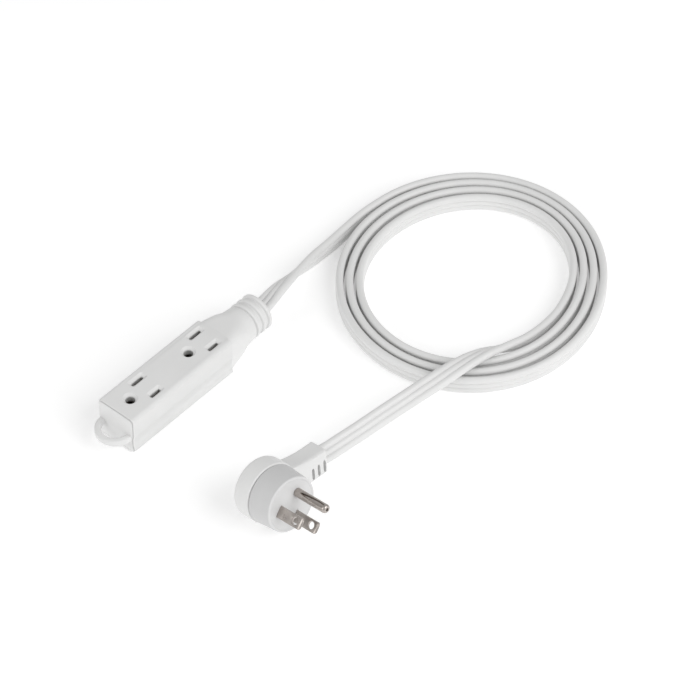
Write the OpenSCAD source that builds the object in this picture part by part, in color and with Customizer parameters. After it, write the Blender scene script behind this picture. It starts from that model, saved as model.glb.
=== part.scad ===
// Household extension cord: an outlet block with two grounded outlets and a hanging loop,
// a flat three-conductor cord laid in a coil, and a flat plug whose prong turret turns.
// Origin: centre of the block's underside. +X runs along the block to the cord, +Z up.

/* [Outlet block] */
// Length of the block's square body
body_len = 75.6; // [74:0.4:90]
// Width of the body
body_w = 24.6; // [24:0.2:28]
// Height of the body
body_h = 24.2; // [23.4:0.2:28]
// Corner radius of the body
body_r = 2; // [1:0.5:3]
// Depth of the shallow channel along each side
side_channel = 0.7; // [0.3:0.1:0.8]
// Wall of the outer moulding
wall = 2.2; // [1.8:0.1:2.4]
// Distance between the two outlets
outlet_pitch = 43.6; // [40:0.2:48]
// From the body's end face to the first ground hole
first_ground = 11.6; // [11:0.2:14]

/* [Outlets] */
// Radius of a ground hole
ground_hole_r = 2.65; // [2.5:0.05:2.8]
// Distance from a ground hole to the line through its slots
ground_to_slots = 11.9; // [11.5:0.1:12.2]
// Distance between the two slots of an outlet
slot_pitch = 12.7; // [12.6:0.1:12.8]
// Length of the neutral slot
neutral_slot = 8.2; // [7.8:0.1:8.4]
// Length of the line slot
line_slot = 7; // [6.6:0.1:7.2]
// Width of both slots
slot_w = 2.1; // [1.8:0.1:2.4]

/* [Hanging loop] */
// Outer radius of the loop
loop_r = 11; // [10:0.5:12]
// Radius of the hole in it
loop_hole_r = 7.5; // [5:0.5:8]
// Thickness of the loop
loop_t = 4; // [3:0.5:5]
// Height of the loop's middle
loop_z = 10.6; // [8:0.2:14]

/* [Neck] */
// Length of the neck with its ridges
neck_len = 33; // [31:0.5:36]
// Height of the neck's axis at the cord
neck_z = 13.2; // [12:0.2:13.4]
// Radius of the neck's round end
neck_r = 9.4; // [9:0.1:10]
// Radius over the ridges
ridge_r = 10.5; // [10:0.1:11]
// Width of a ridge
ridge_w = 2.4; // [2:0.1:2.8]
// Distance from one ridge to the next
ridge_pitch = 4.4; // [4:0.1:4.6]

/* [Cord] */
// Width of the flat cord
cord_w = 10.4; // [10:0.1:10.8]
// Thickness of the flat cord
cord_t = 4.2; // [3.8:0.1:4.4]
// Corner cut on the cord's plain section
cord_cut = 1; // [0.8:0.1:1.2]
// Middle of the coil along X
coil_x = 158; // [157:0.2:161]
// Middle of the coil along Y
coil_y = -64.4; // [-66:0.2:-62]
// Outer radius of the coil
coil_outer_r = 77; // [76:0.5:78]
// Inner radius of the coil
coil_inner_r = 54; // [52:0.5:55]

/* [Plug] */
// Radius of the rear housing
rear_r = 16.6; // [16.4:0.1:17]
// Depth of the rear housing
rear_h = 12; // [11.5:0.5:13]
// Radius of the turning turret
turret_r = 16.2; // [16:0.1:16.4]
// Radius of the turret's face
face_r = 15.3; // [15:0.1:16]
// Height of the turret
turret_h = 14.6; // [14:0.2:16]
// Wall of the housing and of the turret
plug_wall = 2; // [1.8:0.1:2.2]
// Rounding of the rear edge
back_round = 3.2; // [2:0.2:3.4]
// Rounding of the turret's rim
rim_r = 1; // [0.5:0.25:1.25]
// From the turret's axis to the end of the tail
tail_reach = 38; // [36:1:40]
// Angle that the tail dips
tail_dip = 6; // [4:0.5:8]
// Heading of the plug's axis
plug_heading = -95; // [-97:0.5:-93]
// Tilt of the plug's axis above the floor
plug_tilt = 12; // [10:0.5:12.5]
// Angle at which the prongs stand
prong_turn = 45; // [0:1:359]

/* [Prongs] */
// Length of a blade outside the face
blade_len = 16.6; // [15.9:0.1:18]
// Width of a blade
blade_w = 6.35; // [6.25:0.05:6.45]
// Thickness of a blade
blade_t = 1.52; // [1.45:0.01:1.6]
// Radius of the hole in a blade
blade_hole_r = 2; // [1.5:0.1:2]
// From the face to the hole in a blade
blade_hole_at = 11.9; // [11.5:0.1:12]
// Radius of the ground pin
pin_r = 2.4; // [2.35:0.01:2.41]
// Length of the ground pin outside the face
pin_len = 22; // [21:0.1:22.6]
// From the turret's axis to the ground pin
pin_off = 7; // [6.6:0.1:7.2]
// Radius of the pin's shank inside the turret
shank_r = 2.2; // [2:0.1:2.3]

/* [Hidden] */
$fn = 48;
gap = 0.2;
over = 1;

body_x0 = -(body_len + loop_r + neck_len) / 2 + loop_r;
body_x1 = body_x0 + body_len;
neck_x1 = body_x1 + neck_len;
ground_xs = [for (i = [0, 1]) body_x0 + first_ground + i * outlet_pitch];
slot_xs = [for (x = ground_xs) x + ground_to_slots];
slot_y = slot_pitch / 2;

// The carrier that fills the body's cavity
end_extra = 0.8;
cavity_w = body_w - 2 * wall;
cavity_x0 = body_x0 + wall + end_extra;
cavity_x1 = body_x1 - wall - end_extra;
carrier_w = cavity_w - 2 * gap;
carrier_x0 = cavity_x0 + gap;
carrier_len = cavity_x1 - cavity_x0 - 2 * gap;
carrier_z0 = wall + gap;
carrier_z1 = body_h - wall - gap;
carrier_mid = body_h / 2;
channel_w = 3.8;
clip_pocket = 9.6;
sleeve_r = 2.9;
sleeve_wall = 0.5;
sleeve_room = 0.4;

// Neck: where it turns round, the flare there, and the space inside it
neck_round = 12;
neck_cone_r = 10.2;
shoulder_r = 4;
neck_bore_at = 14;
neck_bore_r = 7;
fan_w = 19.2;
fan_h = 10.4;
channel_z = 7.5;
channel_r = 14.8;

// Contacts of the block
strip_z = 7;
strip_t = 0.8;
strip_w = 3.3;
leaf_t = 0.5;
leaf_len = 7;
contact_top = 19;
crimp_r = 1.7;
crimp_bore = 1.3;
crimp_x0 = body_x1;
crimp_len = 6;
crimp_z = strip_z + strip_t / 2;
core_r = 1;
cord_in = 7;
wire_r = 1.3;
wire_pitch = 3.3;
wire_end_x = neck_x1 - cord_in - 0.2;

// Contacts of the plug, in the plug's own axes: Z out through the face, X down, Y to the tail
plug_at = [-33.8, -94.5, 18.6];
boss_r = 3;
boss_top = 5.4;
boss_bore = 1.4;
plate_r = 14;
plate_z = -4.2;
plate_t = 1.8;
ring_t = 0.8;
ring_w = 1.6;
ring_rs = [12.4, 9, 5.7];
tab_r = 0.7;
tab_z = -6.6;
plug_wire_r = 1.1;
plug_wire_pitch = 2.3;
tail_top = [[8, 9], [14, 7.5], [18, 6.7], [24, 6.2], [30, 6.3], [35, 6.7], [38, 7]];
tail_bottom = [[38, 7.1], [20, 8.9], [8, 9]];
tail_slots = [[3.5, 27], [3, 30.9], [2.4, 34.8]];
tail_slot_w = 1.7;
tail_slot_len = 7;
tail_slot_depth = 2.6;
clamp_y = 26;
bore_y = 12;
bore_r = 3.6;
cord_roll = 45;
back_z = 2.2;
back_t = 3;
back_r = 13.5;
hinge_gap = 0.05;
face_t = 2.6;
blade_y = pin_off - ground_to_slots;
turret_gap = 0.3;
seam = 0.2;
washer_r = 4.2;
washer_t = 0.6;
screw_head_r = 3;
screw_head_h = 1.8;
screw_r = 1.2;

// The cord where it isn't coiled: points on its centre line and the roll of its width
lead_route = [
    [neck_x1 - cord_in, 0, neck_z, 0],
    [neck_x1 + 2, 0.2, neck_z, 0],
    [79.2, 3, 12.6, -22],
    [95.2, 5.7, 9.8, -55],
    [110.2, 7.4, 7.4, -82],
    [125.2, 8.4, 5.8, -90],
    [143.2, 9, 5.3, -90]];
tail_route = [
    [140.2, -116, 6.4, 82],
    [128.2, -112.6, 9, 58],
    [117.2, -109.5, 11.8, 30],
    [106.2, -107.4, 13.6, 8],
    [94.2, -105.9, 14.7, -10],
    [81.2, -104.4, 15.2, -28],
    [69.2, -102.7, 15.2, -38],
    [57.2, -101, 15, -44],
    [44.2, -98.9, 14.4, -45],
    [31.2, -97, 13.8, -45],
    [19.2, -94.9, 13.1, -45],
    [10.2, -93.5, 12.9, -45],
    [4.3, -92.8, 13.5, -45],
    [-2.6, -92, 14.2, -45],
    [-7.6, -91.5, 14.7, -45]];

// ---- shared shapes ----

// A bar along X with a rounded section, standing on z = 0
module rounded_bar(len, w, h, r) {
    rotate([90, 0, 90]) linear_extrude(len) {
        translate([-w / 2 + r, 0]) square([w - 2 * r, h]);
        translate([-w / 2, r]) square([w, h - 2 * r]);
        for (y = [-1, 1])
            for (z = [r, h - r])
                translate([y * (w / 2 - r), z]) circle(r);
    }
}

// A straight rod from one point to another
module rod(from, to, r) {
    d = to - from;
    len = norm(d);
    translate(from) rotate([0, acos(d.z / len), atan2(d.y, d.x)]) cylinder(h = len, r = r);
}

// A flat ring
module ring(outer, inner, h) {
    difference() {
        cylinder(h = h, r = outer);
        translate([0, 0, -over]) cylinder(h = h + 2 * over, r = inner);
    }
}

// A disc with its lower edge rounded
module rounded_disc(r, h, edge) {
    rotate_extrude() {
        square([r - edge, h]);
        translate([0, edge]) square([r, h - edge]);
        translate([r - edge, edge]) circle(edge);
    }
}

// A section swept along a route of points, each with a roll about the way it runs
function spot(p) = [p.x, p.y, p.z];
function unit(v) = v / norm(v);
function along(route, i) =
    unit(spot(route[min(i + 1, len(route) - 1)]) - spot(route[max(i - 1, 0)]));
function swept_ring(route, section, i) =
    let (t = along(route, i), side = unit(cross([0, 0, 1], t)), up = cross(t, side), roll = route[i][3],
         a = side * cos(roll) + up * sin(roll), b = up * cos(roll) - side * sin(roll))
    [for (q = section) spot(route[i]) + a * q.x + b * q.y];
module swept(route, section) {
    n = len(section);
    last = len(route) - 1;
    rings = [for (i = [0 : last]) each swept_ring(route, section, i)];
    sides = [for (i = [0 : last - 1], j = [0 : n - 1])
        let (a = i * n + j, b = i * n + (j + 1) % n) each [[a, a + n, b + n], [a, b + n, b]]];
    start_cap = [[for (j = [0 : n - 1]) j]];
    end_cap = [[for (j = [n - 1 : -1 : 0]) last * n + j]];
    polyhedron(rings, concat(start_cap, sides, end_cap));
}

flat_section = let (w = cord_w / 2, t = cord_t / 2, c = cord_cut)
    [[c - w, -t], [w - c, -t], [w, c - t], [w, t - c], [w - c, t], [c - w, t], [-w, t - c], [-w, c - t]];
function round_section(r) = [for (a = [22.5 : 45 : 359]) [r * cos(a), r * sin(a)]];

// A flat cord, and one insulated conductor
module flat_cord(route) { swept(route, flat_section); }
module conductor(points, r) { swept([for (p = points) [p.x, p.y, p.z, 0]], round_section(r)); }

// ---- outlet block ----

// The openings of both outlets, from z0 up, wider than their size by extra
module outlet_openings(z0, h, extra) {
    for (x = slot_xs) {
        translate([x - neutral_slot / 2 - extra, slot_y - slot_w / 2 - extra, z0])
            cube([neutral_slot + 2 * extra, slot_w + 2 * extra, h]);
        translate([x - line_slot / 2 - extra, -slot_y - slot_w / 2 - extra, z0])
            cube([line_slot + 2 * extra, slot_w + 2 * extra, h]);
    }
    for (x = ground_xs) translate([x, 0, z0]) cylinder(h = h, r = ground_hole_r + extra);
}

module hanging_loop() {
    translate([body_x0, 0, loop_z - loop_t / 2]) difference() {
        intersection() {
            cylinder(h = loop_t, r = loop_r);
            translate([-loop_r - over, -loop_r - over, -over])
                cube([loop_r + over + 0.5, 2 * loop_r + 2 * over, loop_t + 2 * over]);
        }
        translate([0, 0, -over]) intersection() {
            cylinder(h = loop_t + 2 * over, r = loop_hole_r);
            translate([-loop_r, -loop_r, 0]) cube([loop_r, 2 * loop_r, loop_t + 2 * over]);
        }
    }
}

// Places a shape on the neck's axis, its Z along the cord
module on_neck(x) { translate([x, 0, neck_z]) rotate([0, 90, 0]) children(); }

// A disc round the neck, its rim rounded on both sides
module ridge(x) {
    round = ridge_w / 4;
    on_neck(x) rotate_extrude() {
        square([ridge_r - round, ridge_w]);
        translate([0, round]) square([ridge_r, ridge_w - 2 * round]);
        for (z = [round, ridge_w - round])
            translate([ridge_r - round, z]) circle(round);
    }
}

module neck() {
    hull() {
        translate([body_x1 - 0.5, 0, 0.3]) rounded_bar(1, body_w - 1.4, body_h - 0.4, shoulder_r);
        on_neck(neck_x1 - neck_round) cylinder(h = 1, r = neck_cone_r, $fn = 32);
    }
    on_neck(neck_x1 - neck_round) cylinder(h = neck_round - 0.3, r = neck_r);
    for (i = [0 : 2]) ridge(neck_x1 - ridge_w - i * ridge_pitch);
}

// The space in the neck where the conductors fan out
module neck_space() {
    hull() {
        translate([cavity_x1 - 0.5, -fan_w / 2, crimp_z - 3.2]) cube([1, fan_w, fan_h]);
        on_neck(neck_x1 - neck_bore_at) cylinder(h = 1, r = neck_bore_r, $fn = 32);
    }
    on_neck(neck_x1 - neck_bore_at) cylinder(h = neck_bore_at - cord_in - 2, r = neck_bore_r);
    translate([neck_x1 - cord_in - 3, -cord_w / 2 - gap / 2, neck_z - cord_t / 2 - gap / 2])
        cube([cord_in + 3 + over, cord_w + gap, cord_t + gap]);
}

module outlet_jacket() {
    color("whitesmoke") difference() {
        union() {
            translate([body_x0, 0, 0]) rounded_bar(body_len, body_w, body_h, body_r);
            hanging_loop();
            neck();
        }
        translate([cavity_x0, -cavity_w / 2, wall])
            cube([cavity_x1 - cavity_x0, cavity_w, body_h - 2 * wall]);
        outlet_openings(body_h - wall - over, wall + 2 * over, 0);
        neck_space();
        for (side = [-1, 1])
            translate([body_x0 - over, side * (body_w / 2 - side_channel + channel_r), channel_z])
                rotate([0, 90, 0]) cylinder(h = body_len, r = channel_r);
    }
}

module carrier_block(z0, z1) {
    translate([carrier_x0, -carrier_w / 2, z0]) cube([carrier_len, carrier_w, z1 - z0]);
}

// Pockets that take the clips and sleeves
module contact_pockets(z0, h) {
    for (x = slot_xs)
        for (y = [-1, 1])
            translate([x - clip_pocket / 2, y * slot_y - channel_w / 2, z0])
                cube([clip_pocket, channel_w, h]);
    for (x = ground_xs) translate([x, 0, z0]) cylinder(h = h, r = sleeve_r + sleeve_room);
}

module carrier_cover() {
    color("gainsboro") difference() {
        carrier_block(carrier_mid + gap / 2, carrier_z1);
        contact_pockets(carrier_mid - over, contact_top + 0.6 - carrier_mid + over);
        outlet_openings(contact_top, body_h, sleeve_room);
    }
}

module carrier_base() {
    color("gainsboro") difference() {
        carrier_block(carrier_z0, carrier_mid - gap / 2);
        contact_pockets(strip_z - 0.3, carrier_mid);
        for (y = [-slot_y, 0, slot_y])
            translate([carrier_x0 + 3, y - channel_w / 2, strip_z - 0.3])
                cube([carrier_len, channel_w, carrier_mid]);
    }
}

// A brass strip along the base with a tongue into its crimp
module bus_strip(y, x0) {
    translate([x0, y - strip_w / 2, strip_z]) cube([body_x1 - 3 - x0, strip_w, strip_t]);
    translate([body_x1 - 3.5, y - 0.7, strip_z]) cube([6, 1.4, strip_t]);
}

// Two sprung leaves on each side of a slot
module blade_clips(y) {
    for (x = slot_xs)
        for (side = [-1, 1])
            translate([x - leaf_len / 2, y + (side * (strip_w - leaf_t) - leaf_t) / 2, strip_z + strip_t / 2])
                cube([leaf_len, leaf_t, contact_top - strip_z - strip_t / 2]);
}

module line_bus() {
    color("goldenrod") {
        bus_strip(-slot_y, carrier_x0 + 6);
        blade_clips(-slot_y);
    }
}

module neutral_bus() {
    color("goldenrod") {
        bus_strip(slot_y, carrier_x0 + 6);
        blade_clips(slot_y);
    }
}

module ground_bus() {
    color("goldenrod") {
        bus_strip(0, carrier_x0 + 4);
        for (x = ground_xs)
            translate([x, 0, strip_z + strip_t / 2])
                ring(sleeve_r, sleeve_r - sleeve_wall, contact_top - strip_z - strip_t / 2);
    }
}

module crimp(y) {
    color("silver") translate([crimp_x0, y, crimp_z]) rotate([0, 90, 0]) ring(crimp_r, crimp_bore, crimp_len);
}

module line_crimp() { crimp(-slot_y); }
module neutral_crimp() { crimp(slot_y); }
module ground_crimp() { crimp(0); }

// One conductor from its crimp to the cord: bare core, then insulation
module block_wire(n) {
    y0 = n * slot_y;
    y1 = n * wire_pitch;
    rod([crimp_x0 + 3, y0, crimp_z], [crimp_x0 + crimp_len + 0.6, y0, crimp_z], core_r);
    bare_x = crimp_x0 + crimp_len + 0.3;
    conductor([[bare_x, y0, crimp_z], [bare_x + 1.7, y0, crimp_z], [wire_end_x - 9, y1 * 1.1, neck_z - 1],
        [wire_end_x - 3, y1, neck_z], [wire_end_x, y1, neck_z]], wire_r);
}

module block_line_wire() { color("dimgray") block_wire(-1); }
module block_neutral_wire() { color("white") block_wire(1); }
module block_ground_wire() { color("seagreen") block_wire(0); }

// ---- cord ----

module cord_lead() { color("white") flat_cord(lead_route); }
module cord_tail() { color("white") flat_cord(tail_route); }
module cord_coil() {
    color("white") translate([coil_x, coil_y, 0]) ring(coil_outer_r, coil_inner_r, cord_w);
}

// ---- plug: what stays still ----

module at_plug() {
    translate(plug_at) rotate([0, 0, plug_heading]) rotate([0, 90 - plug_tilt, 0]) children();
}

module along_tail() { rotate([0, 0, -tail_dip]) children(); }

module tail_body() {
    longer = tail_reach / 38;
    translate([0, 0, -rear_h]) linear_extrude(rear_h - seam)
        polygon([for (p = tail_top) [-p[1], p[0] * longer], for (p = tail_bottom) [p[1], p[0] * longer]]);
}

module tail_grooves() {
    for (p = tail_slots)
        for (z = [-rear_h - over, -tail_slot_depth - seam])
            translate([p[0] - tail_slot_len / 2, p[1], z])
                cube([tail_slot_len, tail_slot_w, tail_slot_depth + over]);
}

module plug_housing() {
    color("whitesmoke") at_plug() {
        difference() {
            union() {
                translate([0, 0, -rear_h]) rounded_disc(rear_r, rear_h - seam, back_round);
                along_tail() tail_body();
            }
            translate([0, 0, -rear_h + plug_wall]) cylinder(h = rear_h, r = rear_r - plug_wall);
            along_tail() {
                translate([-5.7, 10, -rear_h + plug_wall]) cube([11.4, 8, 5.4]);
                translate([0, bore_y, -rear_h / 2]) rotate([-90, 0, 0])
                    cylinder(h = clamp_y - bore_y + 1, r = bore_r);
                translate([0, clamp_y - 0.3, -rear_h / 2]) rotate([0, plug_tilt - cord_roll, 0])
                    translate([-(cord_w + gap) / 2, 0, -(cord_t + gap) / 2])
                        cube([cord_w + gap, tail_reach, cord_t + gap]);
                tail_grooves();
            }
        }
        difference() {
            translate([0, 0, -rear_h + plug_wall - 0.5])
                cylinder(h = boss_top + rear_h - plug_wall + 0.5, r = boss_r);
            translate([0, 0, -2]) cylinder(h = boss_top + 2 + over, r = boss_bore);
        }
    }
}

// Where each ring's solder tab stands
function tab_angle(i) = 60 + 30 * i;

module ring_plate() {
    color("tan") at_plug() translate([0, 0, plate_z]) difference() {
        cylinder(h = plate_t, r = plate_r);
        translate([0, 0, -over]) cylinder(h = plate_t + 2 * over, r = boss_r + 0.3);
        for (i = [0 : 2])
            rotate([0, 0, tab_angle(i)]) translate([ring_rs[i], 0, -over])
                cylinder(h = plate_t + 2 * over, r = tab_r + 0.15);
    }
}

module slip_ring(i) {
    color("goldenrod") at_plug() {
        translate([0, 0, plate_z + plate_t]) ring(ring_rs[i] + ring_w / 2, ring_rs[i] - ring_w / 2, ring_t);
        rotate([0, 0, tab_angle(i)]) translate([ring_rs[i], 0, tab_z])
            cylinder(h = plate_z + plate_t - tab_z + ring_t / 2, r = tab_r);
    }
}

module line_ring() { slip_ring(0); }
module neutral_ring() { slip_ring(1); }
module ground_ring() { slip_ring(2); }

// One conductor from the tail to its ring's tab, level behind the plate
function tail_spot(x, y, z) =
    [x * cos(tail_dip) + y * sin(tail_dip), y * cos(tail_dip) - x * sin(tail_dip), z];
module plug_wire(i) {
    across = plug_wire_pitch * (1 - i);
    tab = [ring_rs[i] * cos(tab_angle(i)), ring_rs[i] * sin(tab_angle(i)), tab_z - wire_r];
    mid_z = -rear_h / 2;
    at_plug() conductor([tail_spot(across, clamp_y - 0.3, mid_z), tail_spot(across, clamp_y - 6.5, mid_z),
        tail_spot(across, clamp_y - 10, tab.z), tab], plug_wire_r);
}

module plug_line_wire() { color("dimgray") plug_wire(0); }
module plug_neutral_wire() { color("white") plug_wire(1); }
module plug_ground_wire() { color("seagreen") plug_wire(2); }

module pivot_washer() {
    color("silver") at_plug() translate([0, 0, boss_top + 0.05]) ring(washer_r, screw_r + 0.1, washer_t);
}

module pivot_screw() {
    color("silver") at_plug() {
        translate([0, 0, boss_top + washer_t + 0.1]) difference() {
            cylinder(h = screw_head_h, r = screw_head_r);
            for (a = [0, 90]) rotate([0, 0, a]) translate([-2, -0.4, 1]) cube([4, 0.8, 2]);
        }
        translate([0, 0, -1.6]) cylinder(h = boss_top + washer_t + 2, r = screw_r);
    }
}

// ---- plug: the turret that turns ----

module at_turret() { at_plug() rotate([0, 0, prong_turn]) children(); }

module turret_shell() {
    color("whitesmoke") at_turret() difference() {
        rotate_extrude() {
            polygon([[0, turret_gap], [turret_r, turret_gap], [face_r, turret_h - rim_r],
                [face_r - rim_r, turret_h], [0, turret_h]]);
            translate([face_r - rim_r, turret_h - rim_r]) circle(rim_r);
        }
        cylinder(h = turret_h - face_t, r1 = turret_r - plug_wall, r2 = face_r - plug_wall);
        for (x = [-slot_y, slot_y])
            translate([x - blade_t / 2 - 0.1, blade_y - blade_w / 2 - 0.1, turret_h - face_t - over])
                cube([blade_t + 0.2, blade_w + 0.2, face_t + 2 * over]);
        translate([0, pin_off, turret_h - face_t - over]) cylinder(h = face_t + 2 * over, r = shank_r + 0.1);
    }
}

module turret_back() {
    color("tan") at_turret() translate([0, 0, back_z]) difference() {
        cylinder(h = back_t, r = back_r);
        translate([0, 0, -over]) cylinder(h = back_t + 2 * over, r = boss_r + hinge_gap);
        for (x = [-slot_y, slot_y])
            translate([x - blade_t / 2 - 0.1, blade_y - blade_w / 2 - 0.1, -over])
                cube([blade_t + 0.2, blade_w + 0.2, back_t + 2 * over]);
        translate([0, pin_off, -over]) cylinder(h = back_t + 2 * over, r = shank_r + 0.1);
    }
}

// A flat blade with a hole and a bevelled tip
module blade(x) {
    top = turret_h + blade_len;
    color("silver") at_turret() translate([x, blade_y, 0]) difference() {
        rotate([90, 0, 90]) translate([0, 0, -blade_t / 2]) linear_extrude(blade_t)
            polygon([[-blade_w / 2, back_z], [blade_w / 2, back_z], [blade_w / 2, top - 1.2],
                [blade_w / 2 - 1.2, top], [-blade_w / 2 + 1.2, top], [-blade_w / 2, top - 1.2]]);
        translate([-over, 0, turret_h + blade_hole_at]) rotate([0, 90, 0])
            cylinder(h = 2 * over, r = blade_hole_r);
    }
}

module line_blade() { blade(slot_y); }
module neutral_blade() { blade(-slot_y); }

module ground_pin() {
    color("silver") at_turret() translate([0, pin_off, 0]) {
        translate([0, 0, back_z]) cylinder(h = turret_h - back_z + over, r = shank_r);
        translate([0, 0, turret_h]) cylinder(h = pin_len - 1, r = pin_r);
        translate([0, 0, turret_h + pin_len - 1]) cylinder(h = 1, r1 = pin_r, r2 = pin_r - 1);
    }
}

// A spring finger under a prong that leans down to its slip ring
module wiper(prong, radius, angle) {
    tip_z = plate_z + plate_t + ring_t + 0.35;
    tip = [radius * cos(angle), radius * sin(angle), tip_z + 0.5];
    color("goldenrod") at_turret() {
        translate([prong.x - 1.2, prong.y - 1.6, back_z - 0.4]) cube([2.4, 3.2, 0.4]);
        rod([prong.x, prong.y, back_z - 0.5], tip, 0.35);
        translate(tip) sphere(0.5);
    }
}

module line_wiper() { wiper([slot_y, blade_y], ring_rs[0], -10); }
module neutral_wiper() { wiper([-slot_y, blade_y], ring_rs[1], 175); }
module ground_wiper() { wiper([0, pin_off], ring_rs[2], 70); }

outlet_jacket();
carrier_cover();
carrier_base();
line_bus();
neutral_bus();
ground_bus();
line_crimp();
neutral_crimp();
ground_crimp();
block_line_wire();
block_neutral_wire();
block_ground_wire();
cord_lead();
cord_coil();
cord_tail();
plug_housing();
ring_plate();
line_ring();
neutral_ring();
ground_ring();
plug_line_wire();
plug_neutral_wire();
plug_ground_wire();
pivot_washer();
pivot_screw();
turret_shell();
turret_back();
line_blade();
neutral_blade();
ground_pin();
line_wiper();
neutral_wiper();
ground_wiper();
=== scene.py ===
"""A household extension cord: outlet block, coiled flat cord, and flat plug with a turning prong turret."""

import math

import bmesh
import bpy
import numpy as np
from mathutils import Matrix, Vector


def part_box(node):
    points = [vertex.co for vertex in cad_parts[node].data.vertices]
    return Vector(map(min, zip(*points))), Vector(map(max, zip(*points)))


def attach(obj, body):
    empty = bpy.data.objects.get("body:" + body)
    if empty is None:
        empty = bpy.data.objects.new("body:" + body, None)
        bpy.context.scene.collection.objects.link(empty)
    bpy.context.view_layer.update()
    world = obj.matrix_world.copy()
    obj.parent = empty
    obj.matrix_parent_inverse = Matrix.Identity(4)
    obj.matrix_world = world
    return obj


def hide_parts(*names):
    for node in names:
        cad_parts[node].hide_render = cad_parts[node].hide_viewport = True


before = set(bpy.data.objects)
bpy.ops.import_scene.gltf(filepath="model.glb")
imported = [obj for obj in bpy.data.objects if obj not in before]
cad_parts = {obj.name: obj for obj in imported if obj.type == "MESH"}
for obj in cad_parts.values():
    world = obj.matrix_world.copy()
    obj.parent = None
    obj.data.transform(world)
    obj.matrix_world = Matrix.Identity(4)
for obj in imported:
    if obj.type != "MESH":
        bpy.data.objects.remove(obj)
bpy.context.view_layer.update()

MM = 0.001
STILL = "cord_set"
TURNING = "turret"


# ---- camera: from the block's loop end, looking down ----

def make_camera():
    data = bpy.data.cameras.new("camera")
    data.sensor_width = 36.0
    data.lens = 189.5
    data.clip_start = 0.05
    data.clip_end = 20.0
    camera = bpy.data.objects.new("camera", data)
    camera.location = (-0.92429, -0.92403, 1.40760)
    view = Vector((0.51782, 0.45235, -0.72611))
    camera.rotation_euler = view.to_track_quat("-Z", "Y").to_euler()
    bpy.context.scene.collection.objects.link(camera)
    bpy.context.scene.camera = camera


make_camera()


# ---- cord ----

CORD_W = 10.4
CORD_HALF = CORD_W / 2
RIB_PITCH = 3.1
RIB_R = 2.1
VALLEY = 1.36
RING_STEP = 2.4

# The route where the cord isn't coiled: x, y, z in mm, and the roll of its width in degrees
LEAD = [
    (52.8, 0, 13.2, 0), (61.8, 0.2, 13.2, 0), (79.2, 3, 12.6, -22), (95.2, 5.7, 9.8, -55),
    (110.2, 7.4, 7.4, -82), (125.2, 8.4, 5.8, -90)]
TAIL = [
    (140.2, -116, 6.4, -98), (128.2, -112.6, 9, -122), (117.2, -109.5, 11.8, -150),
    (106.2, -107.4, 13.6, -172), (94.2, -105.9, 14.7, -190), (81.2, -104.4, 15.2, -208),
    (69.2, -102.7, 15.2, -218), (57.2, -101, 15, -224), (44.2, -98.9, 14.4, -225),
    (31.2, -97, 13.8, -225), (19.2, -94.9, 13.1, -225), (10.2, -93.5, 12.9, -225),
    (4.3, -92.8, 13.5, -225), (-2.6, -92, 14.2, -225), (-7.6, -91.5, 14.7, -225)]
COIL_START = 101.0
COIL_TURNS = 3.56
COIL_MIDDLE = (155.9, -65.35)
COIL_R = 76.4
POINTS_PER_TURN = 24
TURN_STEP = 5.4


def coil_point(turn):
    """A point of the coil, which runs clockwise and inwards, a little oval and three-cornered."""
    angle = math.radians(COIL_START - 360 * turn)
    oval = (2.7 + 0.15 * turn) * math.cos(2 * (angle - math.radians(29 - 5.7 * turn)))
    corners = 0.65 * math.cos(3 * (angle + math.radians(3)))
    radius = COIL_R - TURN_STEP * turn - 0.1 * turn * turn + oval + corners
    x = COIL_MIDDLE[0] + 0.3 * turn + radius * math.cos(angle)
    y = COIL_MIDDLE[1] + 0.25 * turn + radius * math.sin(angle)
    return (x, y, CORD_HALF, -90)


def smooth_route(points, step):
    """Rings about step mm apart on one smooth curve through all the points, each with a roll."""
    p = np.array(points, float)
    chord = np.linalg.norm(np.diff(p[:, :3], axis=0), axis=1)
    knots = np.concatenate([[0], np.cumsum(chord)])
    slope = np.gradient(p, knots, axis=0)
    route = []
    for i, gap in enumerate(chord):
        count = max(1, round(gap / step))
        for u in np.arange(count) / count:
            h00 = 2 * u ** 3 - 3 * u ** 2 + 1
            h10 = u ** 3 - 2 * u ** 2 + u
            h01 = 3 * u ** 2 - 2 * u ** 3
            h11 = u ** 3 - u ** 2
            route.append(h00 * p[i] + h10 * gap * slope[i] + h01 * p[i + 1] + h11 * gap * slope[i + 1])
    route.append(p[-1])
    return np.array(route)


def cord_section():
    """Three round ribs side by side, with soft valleys between them, in mm."""
    def rib(middle, start, end, count):
        angles = [math.radians(start + (end - start) * i / (count - 1)) for i in range(count)]
        return [(middle + RIB_R * math.cos(a), RIB_R * math.sin(a)) for a in angles]
    half = RIB_PITCH / 2
    return (rib(RIB_PITCH, -135, 135, 19) + [(half, VALLEY)] + rib(0, 45, 135, 9) + [(-half, VALLEY)]
            + rib(-RIB_PITCH, 45, 315, 19) + [(-half, -VALLEY)] + rib(0, 225, 315, 9) + [(half, -VALLEY)])


def sweep(route, section):
    """The section's rings along the route, as vertices in metres."""
    spine = route[:, :3]
    tangent = np.gradient(spine, axis=0)
    tangent /= np.linalg.norm(tangent, axis=1)[:, None]
    side = np.cross([0, 0, 1], tangent)
    side /= np.linalg.norm(side, axis=1)[:, None]
    up = np.cross(tangent, side)
    roll = np.radians(route[:, 3])[:, None]
    across = side * np.cos(roll) + up * np.sin(roll)
    through = up * np.cos(roll) - side * np.sin(roll)
    flat = np.array(section)
    return (spine[:, None] + across[:, None] * flat[None, :, :1] + through[:, None] * flat[None, :, 1:]) * MM


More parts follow.
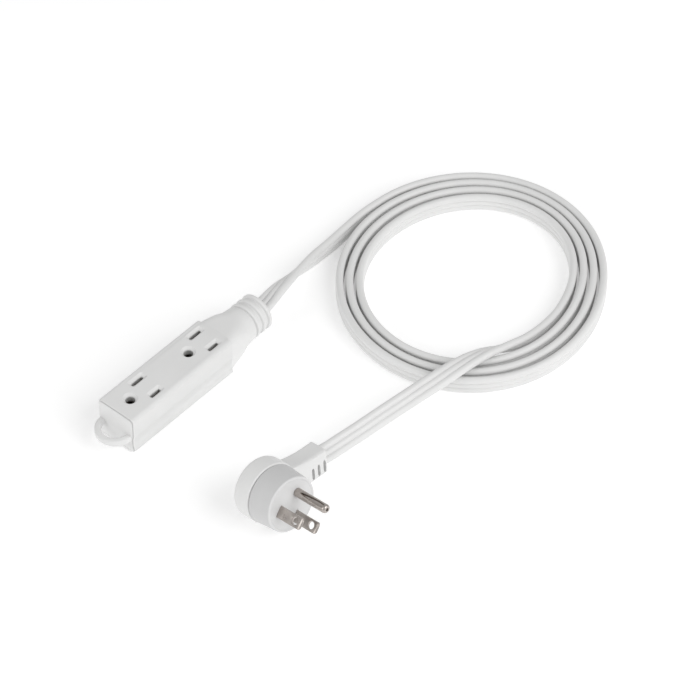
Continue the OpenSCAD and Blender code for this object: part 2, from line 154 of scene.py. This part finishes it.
def new_piece(name, bm):
    """The finished mesh as a smooth object in the scene."""
    bmesh.ops.recalc_face_normals(bm, faces=bm.faces)
    mesh = bpy.data.meshes.new(name)
    bm.to_mesh(mesh)
    bm.free()
    for face in mesh.polygons:
        face.use_smooth = True
    piece = bpy.data.objects.new(name, mesh)
    bpy.context.scene.collection.objects.link(piece)
    return piece


def skin(bm, rings, cap=True):
    """Faces between rings of vertices, closed at both ends."""
    rows = [[bm.verts.new(co) for co in ring] for ring in rings]
    count = len(rows[0])
    for low, high in zip(rows, rows[1:]):
        for j in range(count):
            k = (j + 1) % count
            bm.faces.new((low[j], low[k], high[k], high[j]))
    if cap:
        bm.faces.new(list(reversed(rows[0])))
        bm.faces.new(rows[-1])
    return rows


def make_cord():
    turns = [i / POINTS_PER_TURN for i in range(1, round(COIL_TURNS * POINTS_PER_TURN))]
    points = LEAD + [coil_point(t) for t in turns] + TAIL
    route = smooth_route(points, RING_STEP)
    bm = bmesh.new()
    skin(bm, sweep(route, cord_section()))
    cord = new_piece("cord", bm)
    path = [tuple(p) for p in route[:, :3] * MM]
    return cord, path


cord, cord_path = make_cord()
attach(cord, STILL)
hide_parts("cord_lead", "cord_coil", "cord_tail")


# ---- shapes shared by the moulded pieces ----

def edge_distance(angle, half_w, half_h, r):
    """From the middle of a rounded rectangle to its edge."""
    c, s = abs(math.cos(angle)), abs(math.sin(angle))
    if half_w * s <= (half_h - r) * c:
        return half_w / c
    if half_h * c <= (half_w - r) * s:
        return half_h / s
    cx, cy = half_w - r, half_h - r
    along = cx * c + cy * s
    return along + math.sqrt(along * along - cx * cx - cy * cy + r * r)


def rounded_ring(half_w, half_h, r, count):
    """Points of a rounded rectangle, the same number on every one."""
    ring = []
    for i in range(count):
        angle = math.tau * (i + 0.5) / count
        d = edge_distance(angle, half_w, half_h, r)
        ring.append((d * math.cos(angle), d * math.sin(angle)))
    return ring


def placed(matrix, points):
    """Points in mm of a local frame as vertices in metres."""
    return [(matrix @ Vector(p)) * MM for p in points]


def stacked(name, matrix, layers):
    """A closed solid through layers of (points of a ring, height)."""
    bm = bmesh.new()
    skin(bm, [placed(matrix, [(x, y, z) for x, y in ring]) for ring, z in layers])
    return new_piece(name, bm)


def revolved(name, matrix, profile, count=96):
    """A closed solid turned from a profile of (radius, height) that starts and ends on the axis."""
    bm = bmesh.new()
    rows = [[(r * math.cos(math.tau * i / count), r * math.sin(math.tau * i / count), z) for i in range(count)]
            for r, z in profile[1:-1]]
    grid = skin(bm, [placed(matrix, row) for row in rows], cap=False)
    for row, (_, z) in ((grid[0], profile[0]), (grid[-1], profile[-1])):
        pole = bm.verts.new(placed(matrix, [(0, 0, z)])[0])
        for i in range(count):
            bm.faces.new((row[i], row[(i + 1) % count], pole))
    return new_piece(name, bm)


def arc(cx, cy, r, start, end, steps):
    """Points of an arc in degrees."""
    angles = [math.radians(start + (end - start) * i / steps) for i in range(steps + 1)]
    return [(cx + r * math.cos(a), cy + r * math.sin(a)) for a in angles]


def carve(piece, tools, operation="DIFFERENCE"):
    """Joins the tools to the piece, or cuts them out of it, and leaves plain geometry."""
    for tool in tools:
        step = piece.modifiers.new("carve", "BOOLEAN")
        step.operation = operation
        step.solver = "EXACT"
        step.object = tool
    bpy.context.view_layer.update()
    shape = bpy.data.meshes.new_from_object(piece.evaluated_get(bpy.context.evaluated_depsgraph_get()))
    piece.modifiers.clear()
    old = piece.data
    piece.data = shape
    bpy.data.meshes.remove(old)
    for tool in tools:
        bpy.data.objects.remove(tool)


def finished(piece, angle=38):
    """Smooth faces, sharp where two meet at more than the angle."""
    piece.data.shade_smooth()
    piece.data.set_sharp_from_angle(angle=math.radians(angle))
    return piece


# ---- outlet block ----

BODY_W = 24.6
BODY_H = 24.2
BODY_R = 2.0
LOOP_R = 11.0
LOOP_MID = 9.25
CHANNEL_R = 14.8
CHANNEL_Z = 7.5
CHANNEL_DEPTH = 0.7
CHANNEL_Y = BODY_W / 2 - CHANNEL_DEPTH + CHANNEL_R
NECK_Z = 13.2
END_R = 1.6
END_SEAM = ((1, 0.5), (1, 0.84))
block_low, block_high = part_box("outlet_jacket")
BODY_X0 = block_low[0] / MM + LOOP_R
NECK_X1 = block_high[0] / MM
BODY_X1 = NECK_X1 - 33
GROUND_XS = (BODY_X0 + 11.6, BODY_X0 + 55.2)
WALL = 2.2
SLOT_Y = 6.35
GROUND_TO_SLOTS = 11.9
LOOP_Z = 10.6
FLAT_Z = 12.25
ROUND_FROM = 21
FLAT_W = 11.6
FLAT_H = 11.85
ROUND_R = 10.2
GROOVE_R = 9.4
RIDGE_STARTS = (21.8, 26.2, 30.6)
# One ridge: distance along the neck from its start, radius
RIDGE = ((-0.15, GROOVE_R), (0, 9.6), (0.12, 10.1), (0.4, 10.4), (0.8, 10.5), (1.6, 10.5), (2, 10.4), (2.28, 10.1),
         (2.4, 9.6))
ALONG_X = Matrix(((0, 0, 1), (1, 0, 0), (0, 1, 0))).to_4x4()
QUARTER = (0, 2, 4, 8, 12, 16, 20, 24, 28, 32, 35, 37, 38.5, 40, 41.5, 43, 44.5, 46, 47.5, 49, 50.5, 53,
           58, 64, 70, 77, 84)
NECK_FLAT = ((0, 7.8), (2.2, 7), (7.2, 5.5), (11.2, 3.4), (14.2, 0.8), (21, 0))


def all_round():
    """The angles of a section, closer together at the corners and beside the side channels."""
    back = [180 - q for q in reversed(QUARTER)]
    upper = list(QUARTER) + [90] + back
    lower = [180 + q for q in QUARTER[1:]] + [270] + [360 - q for q in reversed(QUARTER[1:])]
    return [math.radians(a) for a in upper + lower]


def body_section(inset):
    """The body's outline with its two side channels, drawn in by inset."""
    ring = []
    for a in all_round():
        d = edge_distance(a, BODY_W / 2 - inset, BODY_H / 2 - inset, BODY_R)
        y, z = d * math.cos(a), BODY_H / 2 + d * math.sin(a)
        hollow = CHANNEL_Y - math.sqrt(max(0, CHANNEL_R ** 2 - (z - CHANNEL_Z) ** 2))
        if abs(y) > 9:
            y = math.copysign(min(abs(y), hollow - inset), y)
        ring.append((y, z))
    return ring


def neck_section(x):
    """The neck's outline x mm from the body: a square that turns round."""
    t = min(1.0, x / ROUND_FROM)
    half_w, half_h = FLAT_W + (ROUND_R - FLAT_W) * t, FLAT_H + (ROUND_R - FLAT_H) * t
    flat = np.interp(x, [p[0] for p in NECK_FLAT], [p[1] for p in NECK_FLAT])
    r = min(half_w, half_h) - flat - 0.01
    middle = FLAT_Z + (NECK_Z - FLAT_Z) * t
    ring = []
    for a in all_round():
        d = edge_distance(a, half_w, half_h, r)
        ring.append((d * math.cos(a), middle + d * math.sin(a)))
    return ring


def round_section(r):
    """A round outline about the neck's axis."""
    return [(r * math.cos(a), NECK_Z + r * math.sin(a)) for a in all_round()]


def make_jacket():
    """The block's moulded jacket, with its openings and hanging loop."""
    layers = [(body_section(END_R + 0.4), BODY_X0), (body_section(END_R), BODY_X0)]
    layers += [(body_section(END_R + y), BODY_X0 + END_R + x) for x, y in arc(0, 0, END_R, 195, 222, 2)]
    layers += [(body_section(inset), BODY_X0 + x) for inset, x in END_SEAM]
    layers += [(body_section(END_R + y), BODY_X0 + END_R + x) for x, y in arc(0, 0, END_R, 245, 270, 2)]
    layers += [(body_section(0), BODY_X0 + 3), (body_section(0), BODY_X1 - 0.3)]
    layers += [(neck_section(x), BODY_X1 + x)
               for x in (0, 1, 2.2, 4, 5.6, 7.2, 9.2, 11.2, 12.8, 14.2, 16, 18, 20.4)]
    layers += [(round_section(r), BODY_X1 + x) for x, r in ((20.9, 10.05), (21.1, GROOVE_R))]
    for start in RIDGE_STARTS:
        layers += [(round_section(r), BODY_X1 + start + x) for x, r in RIDGE]
        if start < RIDGE_STARTS[-1]:
            layers.append((round_section(GROOVE_R), BODY_X1 + start + 2.55))
    layers += [(round_section(9.2), NECK_X1)]
    jacket = stacked("outlet_jacket_moulding", ALONG_X, layers)
    carve(jacket, [make_loop()], "UNION")
    carve(jacket, [cavity_tool()])
    on_axis = ALONG_X @ Matrix.Translation((0, NECK_Z, 0))
    carve(jacket, [hole_tool(), cord_tool(on_axis, NECK_X1 - 7, NECK_X1 + 1)])
    return finished(jacket)


def make_loop():
    """Half a ring with rounded edges, for hanging the block on a nail."""
    section = rounded_ring(1.75, 2, 1.1, 28)
    rings = []
    turns = [math.radians(90 + 5 * i) for i in range(37)]
    for angle, inside in [(turns[0], WALL)] + [(angle, 0) for angle in turns] + [(turns[-1], WALL)]:
        place = Matrix.Translation((BODY_X0 + inside, 0, LOOP_Z))
        rings.append(placed(place, [((LOOP_MID + u) * math.cos(angle), (LOOP_MID + u) * math.sin(angle), v)
                                    for u, v in section]))
    bm = bmesh.new()
    skin(bm, rings)
    return new_piece("loop", bm)


def cavity_tool():
    """The space inside, which the carrier fills."""
    low, high = BODY_X0 + 3, BODY_X1 - 3
    middle = Matrix.Translation(((low + high) / 2, 0, 0))
    ring = rounded_ring((high - low) / 2, 10.1, 0.3, 32)
    return stacked("cavity", middle, [(ring, WALL), (ring, BODY_H - WALL)])


def hole_tool():
    """All the openings of both outlets, with their sloping rims."""
    rims = ((2, BODY_H + 0.6), (1.4, BODY_H), (0.2, BODY_H - 1.15), (0, BODY_H - 1.4), (0, BODY_H - 3))
    bm = bmesh.new()
    for x in GROUND_XS:
        for y, half in ((SLOT_Y, 4.1), (-SLOT_Y, 3.5)):
            place = Matrix.Translation((x + GROUND_TO_SLOTS, y, 0))
            skin(bm, [placed(place, [(u, v, z) for u, v in rounded_ring(half + e, 1.05 + e, 0.35 + e / 2, 32)])
                      for e, z in rims])
        place = Matrix.Translation((x, 0, 0))
        skin(bm, [placed(place, [(u, v, z) for u, v in rounded_ring(2.65 + e, 2.65 + e, 2.64 + e, 48)])
                  for e, z in rims])
    return new_piece("holes", bm)


def cord_tool(matrix, start, end):
    """The pocket that the cord goes into."""
    section = [(x * 1.02, y * 1.04) for x, y in cord_section()]
    return stacked("pocket", matrix, [(section, start), (section, end)])


jacket = make_jacket()
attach(jacket, STILL)
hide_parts("outlet_jacket")


# ---- plug: local axes Z out of the face, X down, Y to the tail ----

def turned(angle, axis):
    return Matrix.Rotation(math.radians(angle), 4, axis)


PLUG = Matrix.Translation((-33.8, -94.5, 18.6)) @ turned(-95, "Z") @ turned(78, "Y")
TAIL_AXES = PLUG @ turned(-6, "Z")
TURRET = PLUG @ turned(45, "Z")
# Along the tail: distance from the axis, half width above, half width below
TAIL_SHAPE = ((8, 9, 9, 0), (14, 7.5, 8.95, 0), (18, 6.7, 8.9, 0), (24, 6.2, 8.5, 0), (30, 6.3, 7.9, 0),
              (35, 6.7, 7.4, 0), (38, 7, 7.1, 0))
TAIL_SLOTS = ((3.5, 27), (3, 30.9), (2.4, 34.8))
REAR_H = 12.0
TAIL_Z = -6
CORD_ROLL = 33
BLADE_X = 6.35
BLADE_Y = -4.9
BLADE_HALF = 3.175
PIN_Y = 7
PIN_R = 2.4
SEAM_ANGLE = 157


def make_housing():
    """The still rear housing: a cup with the boss that the turret turns on, and the tail."""
    disc = revolved("rear_housing", PLUG, [(0, -0.2), (15.4, -0.2)] + arc(15.7, -1.1, 0.9, 90, 0, 6)
                    + arc(13.4, -8.8, 3.2, 0, -90, 12) + [(12.9, -REAR_H), (0, -REAR_H)])
    carve(disc, [make_tail()], "UNION")
    carve(disc, [
        revolved("hollow", PLUG, [(0, 1), (14.6, 1), (14.6, -10), (0, -10)]),
        revolved("bore", TAIL_AXES @ Matrix.Translation((0, 12, TAIL_Z)) @ turned(-90, "X"),
                 [(0, 0), (3.6, 0), (3.6, 15), (0, 15)], 32),
        cord_tool(TAIL_AXES @ Matrix.Translation((0, 0, TAIL_Z)) @ turned(-90, "X") @ turned(CORD_ROLL, "Z"),
                  25.7, 40),
        groove_tool()])
    boss = revolved("boss", PLUG,
                    [(0, -10.5), (3, -10.5), (3, 5.2), (2.8, 5.4), (1.4, 5.4), (1.4, -2), (0, -2)], 48)
    carve(disc, [boss], "UNION")
    return finished(disc)


def make_tail():
    """The tail that the cord comes out of, its sides pulled in behind the disc."""
    layers = [tuple(spot) for spot in smooth_route(TAIL_SHAPE, 1.5)]
    y, above, below, _ = layers.pop()
    layers += [(y - 1.3 + u, above, below, 1.3 - v) for u, v in arc(0, 0, 1.3, 90, 0, 5)]
    layers.append((y, above, below, 1.7))
    rings = []
    for y, above, below, inset in layers:
        ring = rounded_ring((above + below) / 2 - inset, 5.9 - inset, 1.5, 56)
        rings.append(placed(TAIL_AXES, [(u + (below - above) / 2, y, v - 6.1) for u, v in ring]))
    bm = bmesh.new()
    skin(bm, rings)
    return new_piece("tail", bm)


def groove_tool():
    """The flex slots in the front and the back of the tail."""
    bm = bmesh.new()
    for x, y in TAIL_SLOTS:
        for low, high in ((-2.8, 1), (-REAR_H - 1, -REAR_H + 2.6)):
            ring = rounded_ring(3.5, 0.85, 0.3, 24)
            skin(bm, [placed(TAIL_AXES, [(x + u, y + 0.85 + v, z) for u, v in ring]) for z in (low, high)])
    return new_piece("grooves", bm)


def make_turret():
    """The turning turret, a little narrower at its face, with a raised rim round the face."""
    shell = revolved("turret_cap", TURRET, [(0, 14.3), (13.4, 14.3), (13.75, 14.36), (14, 14.55), (14.3, 14.6)]
                     + arc(14.3, 13.6, 1, 80, 3, 6) + [(15.75, 6), (16.15, 0.8), (16.1, 0.45), (15.9, 0.3),
                                                       (14.2, 0.3), (13.3, 12), (0, 12)])
    tools = []
    for x in (-BLADE_X, BLADE_X):
        ring = rounded_ring(0.82, 3.25, 0.3, 24)
        tools.append(stacked("slit", TURRET @ Matrix.Translation((x, BLADE_Y, 0)), [(ring, 11), (ring, 16)]))
    ring = rounded_ring(2.3, 2.3, 2.29, 40)
    tools.append(stacked("eye", TURRET @ Matrix.Translation((0, PIN_Y, 0)), [(ring, 11), (ring, 16)]))
    carve(shell, tools)
    return finished(shell)


def make_blade(name, x):
    """A flat blade with softened edges, a bevelled tip and a hole."""
    place = TURRET @ Matrix.Translation((x, BLADE_Y, 0))
    layers = [(rounded_ring(0.76, BLADE_HALF, 0.22, 40), z) for z in (2.2, 14.6, 22, 29.6, 30)]
    layers += [(rounded_ring(0.76 - 0.5 * t * t, BLADE_HALF - 1.25 * t, 0.22, 40), 30 + 1.2 * t)
               for t in (0.35, 0.7, 0.9, 1)]
    blade = stacked(name, place, layers)
    across = place @ Matrix.Translation((0, 0, 26.5)) @ turned(90, "Y")
    rim = [(2.3, -0.9), (2.25, -0.76), (2, -0.55), (2, 0.55), (2.25, 0.76), (2.3, 0.9)]
    carve(blade, [revolved("hole", across, [(0, -0.9)] + rim + [(0, 0.9)], 40)])
    return finished(blade)


def make_pin():
    """The rolled ground pin: open along one side, round at the tip, with a small hole there."""
    place = TURRET @ Matrix.Translation((0, PIN_Y, 0))
    shank = [(0, 2.2), (2.2, 2.2), (2.2, 14.5), (PIN_R, 14.6), (PIN_R, 20), (PIN_R, 28), (PIN_R, 34.8)]
    tip = arc(0.9, 35.1, 1.5, 0, 75, 6) + [(0.85, 36.6), (0.75, 36.3), (0.7, 35.4), (0, 35.4)]
    pin = revolved("earth_pin", place, shank + tip, 64)
    rings = []
    for t in np.linspace(0, 1, 14):
        half = 0.3 + 0.9 * min(1, t * 2) ** 0.7 * (1 if t < 0.9 else 1 - 3 * (t - 0.9))
        z = 18.4 + 16.6 * t
        rings.append(placed(place @ turned(SEAM_ANGLE, "Z"),
                            [(1.8 + u, half * v, z) for u, v in rounded_ring(1.5, 1, 0.7, 20)]))
    bm = bmesh.new()
    skin(bm, rings)
    carve(pin, [new_piece("seam", bm)])
    return finished(pin)


housing = make_housing()
turret = make_turret()
line_prong = make_blade("line_prong", BLADE_X)
neutral_prong = make_blade("neutral_prong", -BLADE_X)
earth_prong = make_pin()
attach(housing, STILL)
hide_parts("plug_housing")
for piece, node, finish in ((turret, "turret_shell", "jacket_white"), (line_prong, "line_blade", "nickel"),
                            (neutral_prong, "neutral_blade", "nickel"), (earth_prong, "ground_pin", "nickel")):
    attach(piece, TURNING)
    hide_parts(node)


# ---- materials ----

def nodes_of(name, **settings):
    """A material with a Principled shader whose plain settings are given, and its node tree."""
    mat = bpy.data.materials.new(name)
    mat.use_nodes = True
    shader = mat.node_tree.nodes["Principled BSDF"]
    for key, value in settings.items():
        shader.inputs[key.replace("_", " ")].default_value = value
    return mat, mat.node_tree, shader


def grain(tree, scale, detail=4.0, roughness=0.55):
    """A noise over the piece, in its own coordinates, as a value near 0.5."""
    where = tree.nodes.new("ShaderNodeTexCoord")
    noise = tree.nodes.new("ShaderNodeTexNoise")
    noise.inputs["Scale"].default_value = scale
    noise.inputs["Detail"].default_value = detail
    noise.inputs["Roughness"].default_value = roughness
    tree.links.new(where.outputs["Object"], noise.inputs["Vector"])
    return noise.outputs["Fac"]


def ramp(tree, fac, stops):
    """Colours along a value."""
    band = tree.nodes.new("ShaderNodeValToRGB")
    tree.links.new(fac, band.inputs["Fac"])
    while len(band.color_ramp.elements) < len(stops):
        band.color_ramp.elements.new(0.5)
    for element, (at, colour) in zip(band.color_ramp.elements, stops):
        element.position = at
        element.color = (*colour, 1)
    return band.outputs["Color"]


def spread(tree, fac, low, high):
    """A value spread between two ends."""
    scale = tree.nodes.new("ShaderNodeMapRange")
    scale.inputs["From Min"].default_value = 0.3
    scale.inputs["From Max"].default_value = 0.7
    scale.inputs["To Min"].default_value = low
    scale.inputs["To Max"].default_value = high
    tree.links.new(fac, scale.inputs["Value"])
    return scale.outputs["Result"]


def bump(tree, shader, height, strength, distance):
    """Fine relief from a height."""
    relief = tree.nodes.new("ShaderNodeBump")
    relief.inputs["Strength"].default_value = strength
    relief.inputs["Distance"].default_value = distance
    tree.links.new(height, relief.inputs["Height"])
    tree.links.new(relief.outputs["Normal"], shader.inputs["Normal"])


def plastic(name, light, dark, rough=(0.42, 0.52), texture=2600):
    """Moulded plastic: faint clouding, fine grain, uneven sheen."""
    mat, tree, shader = nodes_of(name, Specular_IOR_Level=0.45)
    cloud = grain(tree, 55, 3)
    tree.links.new(ramp(tree, cloud, [(0.3, dark), (0.7, light)]), shader.inputs["Base Color"])
    tree.links.new(spread(tree, grain(tree, 180, 3), *rough), shader.inputs["Roughness"])
    bump(tree, shader, grain(tree, texture, 3), 0.12, 0.0002)
    return mat


def shade_by_height(mat, top, stops):
    """Paints shade into the colour at some heights, given as (part of the height, how much is left)."""
    tree = mat.node_tree
    base = tree.nodes["Principled BSDF"].inputs["Base Color"]
    colour = base.links[0].from_socket
    where = tree.nodes.new("ShaderNodeTexCoord")
    split = tree.nodes.new("ShaderNodeSeparateXYZ")
    scale = tree.nodes.new("ShaderNodeMapRange")
    scale.inputs["From Max"].default_value = top
    mix = tree.nodes.new("ShaderNodeMix")
    mix.data_type = "RGBA"
    mix.blend_type = "MULTIPLY"
    mix.inputs["Factor"].default_value = 1
    tree.links.new(where.outputs["Object"], split.inputs["Vector"])
    tree.links.new(split.outputs["Z"], scale.inputs["Value"])
    tree.links.new(colour, mix.inputs["A"])
    greys = [(at, (left, left, left)) for at, left in stops]
    tree.links.new(ramp(tree, scale.outputs["Result"], greys), mix.inputs["B"])
    tree.links.new(mix.outputs["Result"], base)


def metal(name, light, dark, rough=(0.22, 0.36), texture=900):
    """Drawn or stamped metal: streaks, fingermarks, uneven polish."""
    mat, tree, shader = nodes_of(name, Metallic=1.0)
    streak = grain(tree, texture, 5, 0.6)
    tree.links.new(ramp(tree, streak, [(0.32, dark), (0.68, light)]), shader.inputs["Base Color"])
    tree.links.new(spread(tree, grain(tree, 300, 4), *rough), shader.inputs["Roughness"])
    bump(tree, shader, streak, 0.15, 0.00005)
    return mat


def cover(piece, mat):
    """Gives the piece this material and no other."""
    piece.data.materials.clear()
    piece.data.materials.append(mat)


# Painted shade along the block's sides: the colour is a little darker in the channel and at the lowest edge, where
# shade falls
SIDE_PAINTED_SHADE = ((0, 0.85), (0.06, 0.88), (0.13, 0.94), (0.24, 0.945), (0.33, 0.9), (0.45, 0.89), (0.5, 0.94),
              (0.75, 0.97), (1, 0.98))
white_moulding = plastic("white_moulding", (0.765, 0.765, 0.76), (0.74, 0.74, 0.735))
side_painted_shade = plastic("side_painted_shade", (0.765, 0.765, 0.76), (0.74, 0.74, 0.735))
shade_by_height(side_painted_shade, BODY_H * MM, SIDE_PAINTED_SHADE)
# Painted shade: the turret is the same white moulding as the housing, made darker, and its outer side darker still
turret_painted_shade = plastic("turret_painted_shade", (0.70, 0.70, 0.70), (0.675, 0.675, 0.675))
turret_side_painted_shade = plastic("turret_side_painted_shade", (0.62, 0.62, 0.62), (0.59, 0.59, 0.59), rough=(0.5, 0.62))
white_cord = plastic("white_cord", (0.76, 0.76, 0.755), (0.73, 0.73, 0.725), rough=(0.36, 0.46), texture=1800)
prong_metal = metal("prong_nickel", (0.52, 0.48, 0.45), (0.40, 0.365, 0.34), rough=(0.24, 0.36), texture=260)
LOOKS = {
    # The carrier is an off-white moulding, made duller than the jacket as painted shade down the slots
    "carrier": plastic("carrier_white", (0.62, 0.62, 0.61), (0.56, 0.56, 0.55)),
    "brass": metal("brass_strip", (0.80, 0.60, 0.30), (0.62, 0.44, 0.20)),
    # Painted shade: the ground contact is the same metal as the others, made near-black so the ground holes read
    # dark
    "hole_painted_shade": metal("ground_contact_painted_shade", (0.22, 0.18, 0.14), (0.15, 0.12, 0.10)),
    "steel": metal("tinned_steel", (0.70, 0.70, 0.70), (0.52, 0.52, 0.53)),
    "line": plastic("insulation_black", (0.04, 0.04, 0.04), (0.022, 0.022, 0.022)),
    "neutral": plastic("insulation_white", (0.78, 0.78, 0.77), (0.72, 0.72, 0.71)),
    "ground": plastic("insulation_green", (0.04, 0.26, 0.11), (0.03, 0.2, 0.08)),
    "board": plastic("insulator_tan", (0.55, 0.42, 0.28), (0.46, 0.34, 0.21), rough=(0.55, 0.7)),
}
NODE_LOOKS = {
    "carrier_cover": "carrier", "carrier_base": "carrier", "line_bus": "brass", "neutral_bus": "brass",
    "ground_bus": "hole_painted_shade", "line_crimp": "steel", "neutral_crimp": "steel", "ground_crimp": "steel",
    "block_line_wire": "line", "block_neutral_wire": "neutral", "block_ground_wire": "ground",
    "ring_plate": "board", "line_ring": "brass", "neutral_ring": "brass", "ground_ring": "brass",
    "plug_line_wire": "line", "plug_neutral_wire": "neutral", "plug_ground_wire": "ground",
    "pivot_washer": "steel", "pivot_screw": "steel", "turret_back": "board", "line_wiper": "brass",
    "neutral_wiper": "brass", "ground_wiper": "brass"}
for piece in (jacket, housing):
    cover(piece, white_moulding)
cover(turret, turret_painted_shade)
turret.data.materials.append(turret_side_painted_shade)
jacket.data.materials.append(side_painted_shade)
# The block's flat sides take the second material, the one with shade painted in by height
for face in jacket.data.polygons:
    on_body = BODY_X0 + 1.7 < face.center.x / MM < BODY_X1 - 0.2
    face.material_index = int(abs(face.normal.y) > 0.6 and abs(face.center.y / MM) > 11 and on_body)
# Faces round the turret's outer side take the darker painted-shade material
out_of_face = PLUG.to_3x3() @ Vector((0, 0, 1))
for face in turret.data.polygons:
    beside = (face.center - PLUG.translation * MM).cross(out_of_face).length
    face.material_index = int(abs(face.normal.dot(out_of_face)) < 0.3 and beside > 0.0148)
cover(cord, white_cord)
for piece in (line_prong, neutral_prong, earth_prong):
    cover(piece, prong_metal)
for node, look in NODE_LOOKS.items():
    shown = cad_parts[node]
    for slot in shown.material_slots:
        slot.material = LOOKS[look]


# ---- floor and light ----

def make_floor():
    bm = bmesh.new()
    bmesh.ops.create_grid(bm, x_segments=8, y_segments=8, size=3.0)
    floor = new_piece("floor", bm)
    mat, tree, shader = nodes_of("pale_floor", Roughness=0.9, Specular_IOR_Level=0.1)
    tree.links.new(ramp(tree, grain(tree, 3, 3), [(0.3, (0.90, 0.90, 0.90)), (0.7, (0.92, 0.92, 0.92))]),
                   shader.inputs["Base Color"])
    shader.inputs["Emission Color"].default_value = (1, 1, 1, 1)
    shader.inputs["Emission Strength"].default_value = 0.25
    cover(floor, mat)


def add_light(name, location, target, size, energy):
    data = bpy.data.lights.new(name, "AREA")
    data.size = size
    data.energy = energy
    light = bpy.data.objects.new(name, data)
    light.location = location
    light.rotation_euler = (Vector(target) - Vector(location)).to_track_quat("-Z", "Y").to_euler()
    bpy.context.scene.collection.objects.link(light)


make_floor()
add_light("front", (0.35, -1.75, 1.35), (0.1, -0.05, 0), 1.8, 24)
add_light("left", (-1.8, 0.6, 0.9), (0.1, -0.05, 0), 1.4, 11)
world = bpy.data.worlds.new("world")
bpy.context.scene.world = world
world.use_nodes = True
world.node_tree.nodes["Background"].inputs["Color"].default_value = (1, 1, 1, 1)
world.node_tree.nodes["Background"].inputs["Strength"].default_value = 0.55
bpy.context.scene.view_settings.view_transform = "Standard"
